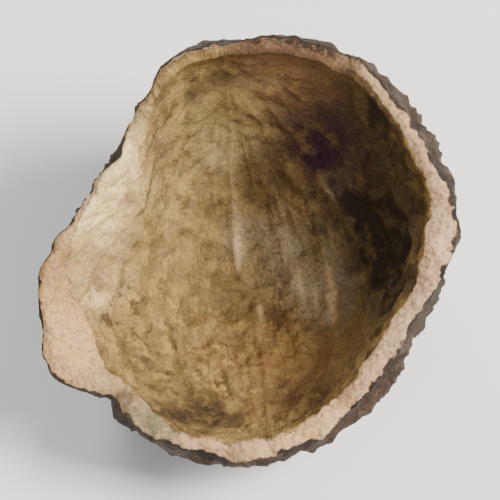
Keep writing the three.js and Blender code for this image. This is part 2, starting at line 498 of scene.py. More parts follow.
@dataclass(frozen=True)
class Wall:
    """The thickness of the berry's wall, and how it changes towards the torn edge."""

    low: float = 0.35
    at_edge: float = 0.25
    uneven: tuple[Patch, ...] = (
        Patch(45, 92, 22, -0.07),  # thinner at the back, on the right
        Patch(105, 92, 20, -0.1),  # and on the left
        Patch(150, 90, 24, -0.12),  # thin along the straight side
        Patch(198, 96, 20, -0.08),  # and on the lip
        Patch(208, 82, 8, 0.1),  # thick fold below it
        Patch(252, 96, 26, -0.05),  # thinner in front
        Patch(3, 94, 10, 0.14),  # thick on the right
        Patch(343, 93, 11, -0.06),  # and thinner on both sides of that
        Patch(28, 99, 11, -0.06),
    )
    thinnest: float = 0.1
    thins_from: float = 0.6  # share of the way up to the edge
    wrinkles_fade_from: float = 0.8
    wrinkles_left: float = 0.36
    inside_smooths_from: float = 0.85
    imprint: float = 0.25  # share of a wrinkle's height that shows on the inside
    creases: tuple[Crease, ...] = (
        Crease(191, 0.5, 0.07, length=15),
        Crease(200, 0.7, 0.045),
        Crease(184, -0.2, 0.035, reach=2.4, length=18),
        Crease(171, -0.6, 0.045, length=16),
        Crease(157, -0.5, 0.03, length=14),
        Crease(138, -0.2, 0.035, length=16),
        Crease(224, 0.8, 0.05, length=10),
    )

    def thickness_at(self, share: np.ndarray, directions: np.ndarray) -> np.ndarray:
        """The thickness at each share of the way up to the edge."""
        at_edge = self.at_edge + patched(self.uneven, directions)
        return lerp(self.low, np.maximum(at_edge, self.thinnest), smoothstep(share, self.thins_from, 1))


@dataclass(frozen=True)
class Stain:
    """A colour that shows in some patches of the husk."""

    name: str
    colour: Colour
    patches: tuple[Patch, ...] = ()
    blotch: float = 0.3  # size of the blotches that it is broken up in
    spread: Range = (0.3, 0.62)  # noise at which a blotch starts, and at which it is full
    least: float = 0.35  # share that is left between the blotches
    most: float = 1.15  # share in the blotches, where the mix stops at 1
    streaks: tuple[Streak, ...] = ()

    def amount_at(self, directions: np.ndarray, fibre_places: Placing) -> np.ndarray:
        """Finds how strong the stain is.

        Args:
            directions: Unit vectors from the middle of the berry.
            fibre_places: Turns such vectors into places that are squeezed along the fibres.

        Returns:
            The share of its colour in each direction, before it is broken up in blotches.
        """
        streaks = sum(streak.amount * streak.fade(directions, fibre_places) for streak in self.streaks)
        return patched(self.patches, directions) + streaks


@dataclass(frozen=True)
class Mottle:
    """Noise that is cut into soft blotches."""

    size: float  # of the largest lumps, in millimetres
    low: float  # noise at which a blotch starts
    high: float  # and at which it is full
    start: float = 0.0
    end: float = 1.0
    detail: float = 4.0
    roughness: float = 0.55  # how strong the finer lumps are


@dataclass(frozen=True)
class OutsideFinish:
    """The dried skin: almost black between the wrinkles, partly its own colour and partly painted shade in
    the furrows, with dusty brown crests.
    """

    # darker down into the furrows: the skin's own dark brown with painted shade
    valley_skin_and_painted_shade: Colour = (0.013, 0.007, 0.004)
    slope: Colour = (0.020, 0.011, 0.0065)
    crest: Colour = (0.056, 0.033, 0.018)
    dust: Colour = (0.165, 0.115, 0.072)
    slope_heights: Range = (0.0, 0.4)  # share of a full crest where the slope starts, and where it is full
    crest_heights: Range = (0.35, 0.95)
    dust_heights: Range = (0.15, 0.85)
    dust_shares: Range = (0.03, 0.68)  # of the skin that the dust covers below and above those heights
    dusting: Mottle = Mottle(0.06, 0.52, 0.7, roughness=0.7)
    uneven: float = 0.9  # how far noise moves those heights
    uneven_size: float = 0.22
    grain_height: float = 0.035
    pebble_height: float = 0.034
    pebble_size: float = 0.13
    roughness: float = 0.66
    stains: tuple[Stain, ...] = (
        Stain("rusty_skin", (0.066, 0.027, 0.012), (
            Patch(30, 30, 20, 0.5), Patch(150, 60, 18, 0.45), Patch(300, 70, 16, 0.5),
        ), blotch=0.5),
        Stain("grey_skin", (0.058, 0.048, 0.037), (
            Patch(110, 50, 20, 0.45), Patch(220, 50, 20, 0.45), Patch(350, 75, 16, 0.4),
        ), blotch=0.4),
        Stain("scar", (0.135, 0.086, 0.047), (Patch(97, 76, 5.2, 1.0),), blotch=0.12),
    )


@dataclass(frozen=True)
class EdgeFinish:
    """The torn flesh: pale pinkish tan, browner in its gaps, and yellower or greener in places."""

    pale: Colour = (0.620, 0.400, 0.250)
    middle: Colour = (0.460, 0.280, 0.160)
    gap: Colour = (0.230, 0.125, 0.062)
    clouds: Mottle = Mottle(0.2, 0.38, 0.64, detail=6)
    gaps: Mottle = Mottle(0.08, 0.48, 0.36, end=0.62, detail=5, roughness=0.7)
    grain_height: float = 0.021
    crumb_height: float = 0.027
    crumb_size: float = 0.09
    roughness: float = 0.88
    stains: tuple[Stain, ...] = (
        Stain("tan", (0.560, 0.345, 0.155), (
            Patch(256, 96, 9, 0.8), Patch(278, 96, 18, 0.9), Patch(310, 94, 20, 0.4),
            Patch(48, 92, 18, 1.0), Patch(198, 92, 18, 0.8),
        )),
        Stain("fawn", (0.345, 0.225, 0.128), (
            Patch(332, 91, 12, 0.8), Patch(20, 100, 6, 0.6), Patch(32, 100, 7, 0.9), Patch(52, 96, 6, 0.6),
            Patch(218, 91, 6, 0.8), Patch(266, 91, 4, 0.8),
        )),
        Stain("lip_tan", (0.330, 0.190, 0.066), (Patch(188, 88, 7, 1.0),)),
        Stain("brown_edge", (0.030, 0.016, 0.007), (
            Patch(67, 92, 5, 0.9), Patch(74, 92, 5, 1.1), Patch(88, 92, 6, 0.9), Patch(99, 92, 5, 0.3),
        ), blotch=0.15, least=0.85),
        Stain("sallow", (0.170, 0.146, 0.076), (
            Patch(230, 88, 6, 0.6), Patch(238, 94, 5, 0.3), Patch(246, 93, 4.5, 1.3),
            Patch(253, 94, 4, 0.4),
        )),
        Stain("lip_cream", (0.620, 0.380, 0.160), (Patch(206, 87, 11, 1.0),)),
    )


@dataclass(frozen=True)
class InsideFinish:
    """The lining of the husk: olive tan, with lighter veins, stains in patches, and painted light and shade
    in some of them.
    """

    light: Colour = (0.315, 0.198, 0.060)
    middle: Colour = (0.205, 0.124, 0.040)
    dark: Colour = (0.090, 0.049, 0.016)
    vein: Colour = (0.400, 0.262, 0.102)
    middle_from: Range = (0.485, 0.58)  # mottling at which the middle colour starts, and at which it is full
    light_from: Range = (0.585, 0.68)
    mottle_size: float = 0.36
    streaks_in_mottle: float = 0.25
    net_in_mottle: float = -0.05
    # painted light and shade: the mottle is lighter on the lumps and granules of the lining and darker in
    # their hollows
    painted_bump_shading: float = 0.11
    streak_size: float = 0.14
    light_streaks: Range = (0.45, 0.6)  # noise at which the veins start to show, and at which they are full
    vein_shares: Range = (0.05, 0.5)
    dark_streaks: Range = (0.42, 0.3)  # and the same for the dark gaps between the fibres
    dark_share: float = 0.35
    fleck_size: float = 0.2
    fleck_squeeze: tuple[float, float, float] = (1, 1, 1.8)  # across the fibres twice, and along them
    flecks: Range = (0.58, 0.7)  # and for the flecks
    fleck_share: float = 0.5
    pits: Mottle = Mottle(0.085, 0.32, 0.24, end=0.7, detail=2)
    thread_height: float = 0.026
    thread_size: float = 0.07
    roughness: float = 0.74
    ground: tuple[Stain, ...] = (
        # partly painted highlight: cream along the left inner wall and the lip, which face the key light,
        # over the lining's own pale cream there
        Stain("cream", (0.900, 0.650, 0.300), (
            Patch(183, 97, 13, 1.0), Patch(147, 95, 11, 1.0), Patch(168, 95, 13, 1.1),
            Patch(140, 93, 5, 0.5), Patch(173, 72, 7, 0.7), Patch(194, 67, 6, 0.9), Patch(188, 52, 5, 0.5),
        )),
    )
    stains: tuple[Stain, ...] = (
        Stain("olive", (0.165, 0.128, 0.042), (Patch(100, 64, 15, 0.6), Patch(236, 64, 12, 0.6))),
        Stain("straw", (0.370, 0.282, 0.122), (
            Patch(96, 45, 8, 1.0), Patch(150, 42, 20, 0.35), Patch(267, 47, 4, 0.8),
        )),
        # painted light: a lighter patch low on the right of the inside, which lifts the shade that the cup
        # casts on itself there
        Stain("dun_painted_light", (0.330, 0.215, 0.092), (
            Patch(329, 45, 8, 0.7), Patch(313, 56, 8, 0.9), Patch(338, 56, 5, 0.7),
        )),
        Stain("ochre", (0.230, 0.142, 0.044), (
            Patch(190, 42, 14, 0.6), Patch(225, 38, 14, 0.6), Patch(262, 50, 14, 0.5),
            # these last two patches are painted light too, on the same shaded side
            Patch(328, 42, 9, 0.7), Patch(313, 55, 9, 0.7),
        )),
        Stain("brown", (0.130, 0.078, 0.026), (
            Patch(47, 74, 16, 0.8), Patch(81, 63, 6, 0.15), Patch(80, 50, 7, 0.15), Patch(82, 36, 7, 0.8),
            Patch(80, 22, 7, 0.7), Patch(60, 8, 6, 0.6), Patch(200, 14, 8, 0.7), Patch(250, 20, 8, 0.6),
            Patch(283, 13, 6, 0.7), Patch(205, 62, 5, 0.5), Patch(250, 71, 5, 0.9), Patch(117, 32, 4, 0.5),
            Patch(97, 56, 4, 0.4),
        )),
        Stain("umber", (0.036, 0.022, 0.008), (
            Patch(254, 71, 6, 1.1), Patch(245, 82, 5, 0.8), Patch(263, 69, 5, 0.7), Patch(247, 60, 4, 0.4),
        )),
        Stain("dark_rim", (0.034, 0.018, 0.008), (
            Patch(67, 94, 5, 0.8), Patch(75, 94, 5, 1.0), Patch(88, 94, 6, 0.9),
        ), blotch=0.15, least=0.85),
        # partly painted shade along the crease where the lip meets the lining, partly the lip's duller tan at
        # its rim
        Stain("lip_shade", (0.340, 0.215, 0.092), (
            Patch(187, 92, 7, 0.7), Patch(186, 80, 5, 0.9), Patch(184, 69, 5, 1.1),
        )),
        Stain("rose", (0.285, 0.143, 0.071), (Patch(79, 80, 12, 0.8),)),
        Stain("rust", (0.240, 0.122, 0.042), (Patch(288, 44, 16, 0.75),)),
        Stain("deep_rust", (0.085, 0.033, 0.010), (
            Patch(293, 66, 7, 0.9), Patch(314, 69, 6, 0.45), Patch(45, 96, 7, 0.7),
        )),
        # the strong patches at 335 to 338 degrees are partly painted light, lifting the shade on that side
        Stain("film", (0.360, 0.285, 0.172), (
            Patch(8, 24, 10, 0.3), Patch(345, 15, 6, 0.5), Patch(335, 27, 4, 0.8), Patch(3, 33, 7, 0.35),
            Patch(338, 35, 6, 1.6), Patch(39, 50, 5, 0.6), Patch(37, 12, 8, 0.5), Patch(101, 11, 4, 0.6),
        ), blotch=0.18),
        # painted shade: a very dark patch on the inner wall under the right rim, where the key light is
        # blocked, over a dusky purple-brown tint of the lining there
        Stain("dusk_and_painted_shade", (0.027, 0.018, 0.010), (
            Patch(20, 57, 16, 0.82), Patch(355, 62, 15, 0.8), Patch(338, 70, 7, 0.5),
            Patch(46, 86, 9, 0.75), Patch(42, 74, 7, 0.3),
        ), least=0.6),
        Stain("violet", (0.052, 0.015, 0.031), (Patch(56, 57, 11, 1.0), Patch(57, 47, 6, 0.45))),
        Stain("dark_dapple", (0.105, 0.066, 0.023), (
            Patch(235, 52, 24, 0.75), Patch(200, 58, 14, 0.5), Patch(250, 71, 6, 0.7),
            Patch(205, 62, 5, 0.5), Patch(120, 32, 14, 0.4),
        ), blotch=0.24, spread=(0.49, 0.61), least=0.0),
        Stain("light_dapple", (0.410, 0.262, 0.074), (
            Patch(228, 48, 24, 0.5), Patch(189, 53, 9, 0.8), Patch(213, 34, 5, 0.6), Patch(246, 44, 7, 0.5),
            Patch(263, 52, 5, 0.8), Patch(288, 44, 12, 0.35), Patch(150, 40, 12, 0.4),
        ), blotch=0.26, spread=(0.5, 0.63), least=0.0),
        Stain("fleck", (0.600, 0.440, 0.235), blotch=0.12, streaks=(
            Streak(101, 30, 0.06, 0.4), Streak(107, 11, 0.08, 1.0), Streak(134, 5, 0.05, 0.6),
            Streak(22, 14, 0.07, 0.4), Streak(341, 20, 0.06, 0.6), Streak(338, 34, 0.1, 1.5),
            Streak(335, 27, 0.05, 0.8), Streak(42, 43, 0.05, 0.4), Streak(286, 16, 0.04, 0.5),
            Streak(60, 24, 0.04, 0.35), Streak(150, 38, 0.05, 0.4),
        )),
    )


class Mask(Enum):
    """The attributes that tell the finish what each place of the husk is."""

    PATH = "path"  # along the wall: below zero outside, then across the torn edge, and on down the inside
    LINING = "lining"  # the same, but from where the lining starts
    CREST = "crest"
    VEIN = "vein"
    NET = "net"  # on the inside
    BUMPS = "bumps"  # on the inside too: above zero on its lumps and granules, and below in its hollows


class Blend(Enum):
    """Ways to mix two colours."""

    PLAIN = "MIX"
    DARKEN = "MULTIPLY"


class NodeBench:
    """The node tree of one material, with short calls for the nodes that the finishes use."""

    NUMBER_SOCKETS = (2, 3, 0)  # a mix node's two inputs and its output for numbers
    COLOUR_SOCKETS = (6, 7, 2)  # and for colours
    CELL_SMOOTHNESS = 0.3

    def __init__(self, name: str) -> None:
        """Starts a material.

        Args:
            name: Name of the material.
        """
        self.material = bpy.data.materials.new(name)
        self.material.use_nodes = True
        self.tree = self.material.node_tree
        self.tree.nodes.clear()
        self.shader = self.tree.nodes.new("ShaderNodeBsdfPrincipled")
        output = self.tree.nodes.new("ShaderNodeOutputMaterial")
        self.link(self.shader.outputs["BSDF"], output.inputs["Surface"])
        self.places = self.tree.nodes.new("ShaderNodeTexCoord").outputs["Object"]

    def link(self, source: Socket, target: Socket) -> None:
        """Links two sockets."""
        self.tree.links.new(source, target)

    def feed(self, target: Socket, value: Feed) -> None:
        """Links a socket to another one, or sets it to a plain value.

        Args:
            target: The input to feed.
            value: An output socket, a number, or a colour of three numbers.
        """
        if isinstance(value, Socket):
            self.link(value, target)
        elif isinstance(value, tuple):
            target.default_value = (*value, 1.0)
        else:
            target.default_value = value

    def attribute(self, name: str, output: str = "Fac") -> Socket:
        """Reads one of the husk's attributes: the number in it as Fac, or the point as Vector."""
        node = self.tree.nodes.new("ShaderNodeAttribute")
        node.attribute_name = name
        return node.outputs[output]

    def squeezed(self, places: Socket, factors: tuple[float, float, float]) -> Socket:
        """Multiplies points by three factors, which squeezes a pattern on them."""
        node = self.tree.nodes.new("ShaderNodeMapping")
        self.link(places, node.inputs["Vector"])
        node.inputs["Scale"].default_value = factors
        return node.outputs["Vector"]

    def noise(self, size: float, detail: float = 4.0, places: Socket | None = None,
              roughness: float = 0.55) -> Socket:
        """Adds noise of 0 to 1 with lumps of one size.

        Args:
            size: Size of the lumps, in the unit of the places.
            detail: How many finer layers it has.
            places: Points to read. Without them, the piece's own metres.
            roughness: How strong the finer layers are.

        Returns:
            The noise.
        """
        node = self.tree.nodes.new("ShaderNodeTexNoise")
        self.link(self.places if places is None else places, node.inputs["Vector"])
        node.inputs["Scale"].default_value = 1 / size
        node.inputs["Detail"].default_value = detail
        node.inputs["Roughness"].default_value = roughness
        return node.outputs["Fac"]

    def mottle(self, mottle: Mottle) -> Socket:
        """Adds noise that is cut into soft blotches."""
        lumps = self.noise(mottle.size * MM, mottle.detail, roughness=mottle.roughness)
        return self.between(lumps, mottle.low, mottle.high, mottle.start, mottle.end)

    def cells(self, size: float) -> Socket:
        """Adds round cells: 0 in the middle of each, growing with the distance from it."""
        node = self.tree.nodes.new("ShaderNodeTexVoronoi")
        node.feature = "SMOOTH_F1"
        self.link(self.places, node.inputs["Vector"])
        node.inputs["Scale"].default_value = 1 / size
        node.inputs["Smoothness"].default_value = self.CELL_SMOOTHNESS
        return node.outputs["Distance"]

    def between(self, value: Socket, low: float, high: float, start: float = 0.0, end: float = 1.0) -> Socket:
        """Maps a value smoothly: start where it is low, and end where it is high."""
        node = self.tree.nodes.new("ShaderNodeMapRange")
        node.interpolation_type = "SMOOTHSTEP"
        self.link(value, node.inputs["Value"])
        for name, number in zip(("From Min", "From Max", "To Min", "To Max"), (low, high, start, end)):
            node.inputs[name].default_value = number
        return node.outputs["Result"]

    def maths(self, operation: str, first: Feed, second: Feed) -> Socket:
        """Works out one number from two, such as by ADD or MULTIPLY."""
        node = self.tree.nodes.new("ShaderNodeMath")
        node.operation = operation
        self.feed(node.inputs[0], first)
        self.feed(node.inputs[1], second)
        return node.outputs["Value"]

    def total(self, value: Feed, *terms: tuple[Socket, float]) -> Socket:
        """Adds terms to a value.

        Args:
            value: What the sum starts with.
            terms: Sockets, each with the factor that it counts by.

        Returns:
            The sum.
        """
        for term, factor in terms:
            value = self.maths("ADD", value, self.maths("MULTIPLY", term, factor))
        return value

    def mix(self, share: Feed, below: Feed, above: Feed, blend: Blend = Blend.PLAIN) -> Socket:
        """Mixes two colours.

        Args:
            share: How much of the upper one, 0 to 1.
            below: Colour or socket below.
            above: Colour or socket above.
            blend: How they are mixed.

        Returns:
            The mixed colour.
        """
        node = self.tree.nodes.new("ShaderNodeMix")
        node.data_type = "RGBA"
        node.blend_type = blend.value
        return self.feed_mix(node, share, (below, above), self.COLOUR_SOCKETS)

    def scale(self, share: Feed, below: Feed, above: Feed) -> Socket:
        """Mixes two numbers as mix does colours."""
        node = self.tree.nodes.new("ShaderNodeMix")
        node.data_type = "FLOAT"
        return self.feed_mix(node, share, (below, above), self.NUMBER_SOCKETS)

    def feed_mix(self, node: bpy.types.Node, share: Feed, values: tuple[Feed, Feed],
                 sockets: tuple[int, int, int]) -> Socket:
        """Feeds a mix node.

        Args:
            node: The mix node.
            share: How much of the second value.
            values: The two values.
            sockets: The places of the node's two inputs and its output.

        Returns:
            Its output.
        """
        self.feed(node.inputs[0], share)
        for value, place in zip(values, sockets):
            self.feed(node.inputs[place], value)
        return node.outputs[sockets[2]]

    def stained(self, colour: Socket, stains: tuple[Stain, ...]) -> Socket:
        """Lays stains over a colour.

        Args:
            colour: The colour below.
            stains: The stains, the lowest first.

        Returns:
            The stained colour.
        """
        for stain in stains:
            blotches = self.mottle(
                Mottle(stain.blotch, *stain.spread, stain.least, stain.most, detail=6, roughness=0.6))
            share = self.maths("MULTIPLY", self.attribute(stain.name), blotches)
            colour = self.mix(share, colour, stain.colour)
        return colour


@dataclass
class HuskFinish:
    """The finish of the whole husk: its outside, its torn edge and its inside in one material."""

    outside: OutsideFinish = field(default_factory=OutsideFinish)
    edge: EdgeFinish = field(default_factory=EdgeFinish)
    inside: InsideFinish = field(default_factory=InsideFinish)
    flesh_from: Range = (0.02, 0.05)  # millimetres past the skin where the torn flesh starts, and is full
    lining_from: Range = (-0.03, 0.03)  # and past the middle of its own start for the lining
    border_reach: float = 0.24  # how far noise moves both borders
    border_size: float = 0.2
    speck: Colour = (0.42, 0.38, 0.35)
    specks: Range = (0.34, 0.6)  # noise below which a speck is full, and above which there is none
    speck_share: float = 0.5
    speck_size: float = 0.045
    gloss_specks: Range = (0.3, 0.7)
    gloss_swing: float = 0.06  # how far the specks move the roughness, up and down
    specular: float = 0.28
    grain_size: float = 0.055

    @property
    def stains(self) -> tuple[Stain, ...]:
        """All stains, each of which reads an attribute of its own name."""
        return self.outside.stains + self.edge.stains + self.inside.ground + self.inside.stains

    def outside_colour(self, bench: NodeBench) -> Socket:
        """The colour of the skin, by the height of its wrinkles, with painted shade in the furrows."""
        skin = self.outside
        uneven = bench.noise(skin.uneven_size * MM, detail=5)
        height = bench.total(bench.attribute(Mask.CREST.value), (uneven, skin.uneven))
        height = bench.maths("SUBTRACT", height, skin.uneven / 2)
        low = bench.mix(bench.between(height, *skin.slope_heights), skin.valley_skin_and_painted_shade, skin.slope)
        high = bench.mix(bench.between(height, *skin.crest_heights), low, skin.crest)
        most_dust = bench.between(height, *skin.dust_heights, *skin.dust_shares)
        dusty = bench.maths("MULTIPLY", bench.mottle(skin.dusting), most_dust)
        return bench.mix(dusty, bench.stained(high, skin.stains), skin.dust)

    def edge_colour(self, bench: NodeBench) -> Socket:
        """The colour of the torn flesh."""
        clouded = bench.mix(bench.mottle(self.edge.clouds), self.edge.middle, self.edge.pale)
        stained = bench.stained(clouded, self.edge.stains)
        return bench.mix(bench.mottle(self.edge.gaps), stained, self.edge.gap)

    def inside_colour(self, bench: NodeBench) -> Socket:
        """The colour of the lining: mottled, with veins, stains and pits, and painted light and shade."""
        lining = self.inside
        fibres = bench.attribute(PepperHusk.FIBRES, "Vector")
        streaks = bench.noise(lining.streak_size, places=fibres, roughness=0.6)
        mottled = bench.total(
            bench.noise(lining.mottle_size * MM, detail=7, roughness=0.62),
            (streaks, lining.streaks_in_mottle),
            (bench.attribute(Mask.NET.value), lining.net_in_mottle),
            # painted light and shade on the lining's lumps and hollows
            (bench.attribute(Mask.BUMPS.value), lining.painted_bump_shading),
        )
        low = bench.mix(bench.between(mottled, *lining.middle_from), lining.dark, lining.middle)
        colour = bench.mix(bench.between(mottled, *lining.light_from), low, lining.light)
        colour = bench.stained(colour, lining.ground)
        shown = bench.between(streaks, *lining.light_streaks, *lining.vein_shares)
        veins = bench.maths("MULTIPLY", bench.attribute(Mask.VEIN.value), shown)
        squeezed = bench.squeezed(fibres, lining.fleck_squeeze)
        flecks = bench.between(bench.noise(lining.fleck_size, detail=3, places=squeezed),
                               *lining.flecks, 0.0, lining.fleck_share)
        colour = bench.mix(bench.maths("MAXIMUM", veins, flecks), colour, lining.vein)
        gaps = bench.between(streaks, *lining.dark_streaks, 0.0, lining.dark_share)
        colour = bench.stained(bench.mix(gaps, colour, lining.dark), lining.stains)
        return bench.mix(bench.mottle(lining.pits), colour, lining.dark)

    def make(self) -> bpy.types.Material:
        """Builds the material.

        Returns:
            The material for the whole husk.
        """
        bench = NodeBench("husk_skin")
        uneven = bench.maths("SUBTRACT", bench.noise(self.border_size * MM, detail=6), 0.5)
        ragged = (uneven, self.border_reach)
        flesh = bench.between(bench.total(bench.attribute(Mask.PATH.value), ragged), *self.flesh_from)
        lined = bench.between(bench.total(bench.attribute(Mask.LINING.value), ragged), *self.lining_from)
        colour = bench.mix(flesh, self.outside_colour(bench), self.edge_colour(bench))
        colour = bench.mix(lined, colour, self.inside_colour(bench))
        specks = bench.noise(self.speck_size * MM, detail=3, roughness=0.7)
        shades = bench.mix(bench.between(specks, *self.specks), self.speck, WHITE)
        colour = bench.mix(self.speck_share, colour, shades, Blend.DARKEN)
        bench.feed(bench.shader.inputs["Base Color"], colour)
        rough = bench.scale(flesh, self.outside.roughness, self.edge.roughness)
        rough = bench.scale(lined, rough, self.inside.roughness)
        dull = bench.between(specks, *self.gloss_specks, self.gloss_swing, -self.gloss_swing)
        bench.feed(bench.shader.inputs["Roughness"], bench.maths("ADD", rough, dull))
        bench.shader.inputs["Specular IOR Level"].default_value = self.specular
        bench.feed(bench.shader.inputs["Normal"], self.relief(bench, flesh, lined))
        return bench.material

    def relief(self, bench: NodeBench, flesh: Socket, lined: Socket) -> Socket:
        """Adds fine relief that is too small for the mesh, in millimetres.

        Args:
            bench: The material's nodes.
            flesh: Where the torn flesh starts.
            lined: Where the lining starts.

        Returns:
            The normal.
        """
        skin, torn, lining = self.outside, self.edge, self.inside
        grains = bench.noise(self.grain_size * MM, detail=5, roughness=0.65)
        grain_height = bench.scale(flesh, skin.grain_height, torn.grain_height)
        pebbles = bench.maths("MULTIPLY", bench.cells(skin.pebble_size * MM), -skin.pebble_height)
        crumbs = bench.maths("MULTIPLY", bench.cells(torn.crumb_size * MM), -torn.crumb_height)
        fibres = bench.attribute(PepperHusk.FIBRES, "Vector")
        threads = bench.noise(lining.thread_size, places=fibres, roughness=0.6)
        threads = bench.maths("MULTIPLY", threads, lining.thread_height)
        height = bench.scale(lined, bench.scale(flesh, pebbles, crumbs), threads)
        height = bench.maths("ADD", height, bench.maths("MULTIPLY", grains, grain_height))
        bump = bench.tree.nodes.new("ShaderNodeBump")
        bump.inputs["Strength"].default_value = 1.0
        bump.inputs["Distance"].default_value = MM
        bench.link(height, bump.inputs["Height"])
        return bump.outputs["Normal"]


@dataclass(frozen=True)
class Spots:
    """Where the points of the ball go on the husk."""

    azimuth: np.ndarray  # degrees around the cup
    share: np.ndarray  # of the way up from the bottom of the cup to the torn edge
    across: np.ndarray  # share of the way over the torn edge: 0 on the outside, and 1 on the inside
    inside: np.ndarray  # whether they are past the middle of the torn edge
    edge_angle: np.ndarray  # degrees from the bottom of the cup up to the torn edge
    directions: np.ndarray  # unit vectors from the middle of the berry

    @property
    def down(self) -> np.ndarray:
        """Degrees from the torn edge down to each spot."""
        return (1 - self.share) * self.edge_angle


@dataclass(frozen=True)
class Relief:
    """The relief at the husk's spots. Heights are in millimetres."""

    coarse: np.ndarray  # height of the coarse wrinkles
    fine: np.ndarray  # and of the fine ones
    crest: np.ndarray  # share of a full crest
    vein: np.ndarray  # share of a full vein
    net: np.ndarray  # share of the inner net's height
    fibres: np.ndarray  # noise of about -1 to 1, as the next two
    lumps: np.ndarray
    granules: np.ndarray


@dataclass
class PepperHusk:
    """The husk: one solid piece of the berry's wall, with its outside, torn edge and inside."""

    FIBRES = "fibre_places"

    berry: Berry = field(default_factory=Berry)
    wrinkles: Wrinkles = field(default_factory=Wrinkles)
    scar: StalkScar = field(default_factory=StalkScar)
    ribs: Ribs = field(default_factory=Ribs)
    edge: TornEdge = field(default_factory=TornEdge)
    wall: Wall = field(default_factory=Wall)
    finish: HuskFinish = field(default_factory=HuskFinish)
    front_tip: float = 22  # degrees that the mouth tips to the front
    foot_depth: float = 2.72  # the middle of the berry to the flat spot below it
    outside_share: float = 86  # degrees of the ball, from its bottom, that become the outside
    inside_share: float = 83  # degrees of the ball, from its top, that become the inside
    lumps_in_bumps: float = 0.6
    granules_in_bumps: float = 0.5
    stain_swing: float = 0.5  # how far noise makes the stains stronger and weaker
    stain_swing_size: float = 0.6

    def add_ball(self) -> bpy.types.Object:
        """Adds the fine ball that the husk is shaped from, in the cup's own frame.

        Returns:
            The ball, with even triangles all over.
        """
        bpy.ops.object.select_all(action="DESELECT")
        bpy.ops.mesh.primitive_ico_sphere_add(subdivisions=6, radius=self.berry.radius * MM)
        ball = bpy.context.object
        ball.name = "pepper_husk"
        bpy.ops.object.mode_set(mode="EDIT")
        bpy.ops.mesh.select_all(action="SELECT")
        bpy.ops.mesh.subdivide(number_cuts=2)
        bpy.ops.transform.tosphere(value=1.0)
        bpy.ops.object.mode_set(mode="OBJECT")
        return ball

    def press_flat(self, points: np.ndarray) -> np.ndarray:
        """Presses what reaches below the floor flat, which makes the spot that the husk rests on."""
        foot = towards(270, self.front_tip)
        below = np.maximum(points @ foot - self.foot_depth, 0)
        return points - below[:, None] * foot

    def fibre_places(self, directions: np.ndarray) -> np.ndarray:
        """Points that are squeezed along the fibres of the lining, in millimetres."""
        return self.ribs.fibre_places(directions, self.berry)

    def spots(self, mesh: bpy.types.Mesh) -> Spots:
        """Pushes the upper half of the ball down into the lower one.

        Args:
            mesh: The mesh of the fine ball.

        Returns:
            Where its points go on the husk.
        """
        places = np.empty(len(mesh.vertices) * 3)
        mesh.vertices.foreach_get("co", places)
        places = places.reshape(-1, 3)
        places /= np.linalg.norm(places, axis=1, keepdims=True)
        azimuth = np.degrees(np.arctan2(places[:, 1], places[:, 0])) % 360
        polar = np.degrees(np.arccos(np.clip(-places[:, 2], -1, 1)))
        edge_band = 180 - self.outside_share - self.inside_share
        across = np.clip((polar - self.outside_share) / edge_band, 0, 1)
        share = np.minimum(np.minimum(polar / self.outside_share, (180 - polar) / self.inside_share), 1)
        edge_angle = self.edge.angle_at(azimuth)
        return Spots(azimuth, share, across, polar >= 90, edge_angle, towards(azimuth, share * edge_angle))

    def relief(self, spots: Spots) -> Relief:
        """Finds the relief at the husk's spots."""
        directions, radius = spots.directions, self.berry.radius
        coarse, fine, crest = self.wrinkles.heights(directions, radius)
        return Relief(
            coarse, fine, crest,
            vein=self.ribs.share_at(directions, self.berry),
            net=self.ribs.net.ridge(self.wrinkles.bent(directions), radius),
            fibres=self.ribs.fibres_at(directions, self.berry),
            lumps=grain(directions * radius, self.ribs.lump_size, octaves=2),
            granules=grain(directions * radius, self.ribs.granule_size),
        )

    def outer(self, spots: Spots, relief: Relief) -> np.ndarray:
        """The middle of the berry to the skin, with its wrinkles and the scar."""
        left = lerp(1, self.wall.wrinkles_left, smoothstep(spots.share, self.wall.wrinkles_fade_from, 1))
        clear = self.scar.clear_at(spots.directions, self.berry)
        wrinkles = (relief.coarse + relief.fine) * left * clear
        lumps = grain(spots.directions * self.berry.radius, self.wrinkles.lump_size)
        scar = self.scar.height_at(spots.directions, self.berry)
        return self.berry.radius_at(spots.directions) + wrinkles + scar + self.wrinkles.lump_height * lumps

    def inner(self, spots: Spots, relief: Relief) -> np.ndarray:
        """The middle of the berry to the lining, with its veins, creases and lumps."""
        smooth = 1 - smoothstep(spots.share, self.wall.inside_smooths_from, 1)
        rough = self.ribs.fibre_height * relief.fibres + self.ribs.granule_height * relief.granules
        rough += self.ribs.lump_height * relief.lumps * smooth + self.ribs.net.height * relief.net
        inner = self.berry.radius_at(spots.directions) - self.wall.thickness_at(spots.share, spots.directions)
        inner += sum(crease.depth_at(spots.azimuth, spots.down) for crease in self.wall.creases)
        return inner + (self.wall.imprint * relief.coarse - self.ribs.height * relief.vein) * smooth - rough

    def points(self, spots: Spots, relief: Relief) -> np.ndarray:
        """The finished points of the husk in the cup's own frame, in millimetres."""
        radius = lerp(self.outer(spots, relief), self.inner(spots, relief), spots.across)
        points = spots.directions * radius[:, None]
        bulge = self.edge.bulge_at(spots.across, points)
        return self.press_flat(points + towards(spots.azimuth, spots.edge_angle + 90) * bulge[:, None])

